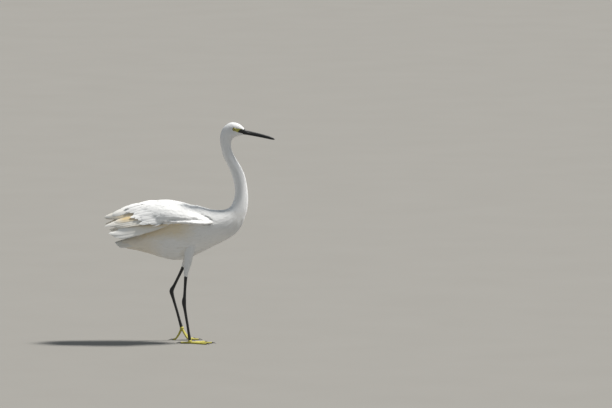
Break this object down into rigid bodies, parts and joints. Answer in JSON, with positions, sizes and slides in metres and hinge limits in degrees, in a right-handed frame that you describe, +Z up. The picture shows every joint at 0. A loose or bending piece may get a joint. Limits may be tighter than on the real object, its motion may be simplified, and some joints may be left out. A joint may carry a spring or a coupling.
{
  "type": "little egret",
  "caption": "Small white heron as a still life-size model, in mid-step: tall S-shaped neck, long black bill, folded wings with loose tips, black legs, yellow toes",
  "frame": {"origin": "on the floor, under the middle of the outline's box", "axes": "+Z up, the longest side; the bird looks along +X; its left side is +Y, and +Y is the shortest side"},
  "size_m": [0.444, 0.1322, 0.5744],
  "materials": {
    "white_feathers": "soft white plumage, matt, in overlapping vanes",
    "black_horn": "smooth black horn of the bill and claws, half gloss",
    "black_leg_skin": "black scaled leg skin, half matt",
    "yellow_foot_skin": "yellow scaled toe skin, half matt",
    "eye": "pale yellow iris with black pupil, wet gloss"
  },
  "bodies": {
    "root": {"bill_lower": "black_horn", "bill_upper": "black_horn", "claw_left_hind": "black_horn", "claw_left_inner": "black_horn", "claw_left_middle": "black_horn", "claw_left_outer": "black_horn", "claw_right_hind": "black_horn", "claw_right_inner": "black_horn", "claw_right_middle": "black_horn", "claw_right_outer": "black_horn", "eye_left": "eye", "eye_right": "eye", "foot_left": "yellow_foot_skin", "foot_right": "yellow_foot_skin", "head": "white_feathers", "neck_lower": "white_feathers", "neck_middle": "white_feathers", "neck_upper": "white_feathers", "shank_left": "black_leg_skin", "shank_right": "black_leg_skin", "tail": "white_feathers", "tarsus_left": "black_leg_skin", "tarsus_right": "black_leg_skin", "thigh_left": "white_feathers", "thigh_right": "white_feathers", "toe_left_hind": "yellow_foot_skin", "toe_left_inner": "yellow_foot_skin", "toe_left_middle": "yellow_foot_skin", "toe_left_outer": "yellow_foot_skin", "toe_right_hind": "yellow_foot_skin", "toe_right_inner": "yellow_foot_skin", "toe_right_middle": "yellow_foot_skin", "toe_right_outer": "yellow_foot_skin", "trunk": "white_feathers", "wing_left_coverts": "white_feathers", "wing_left_primaries": "white_feathers", "wing_left_secondaries": "white_feathers", "wing_left_tertials": "white_feathers", "wing_right_coverts": "white_feathers", "wing_right_primaries": "white_feathers", "wing_right_secondaries": "white_feathers", "wing_right_tertials": "white_feathers"}
  },
  "joints": []
}
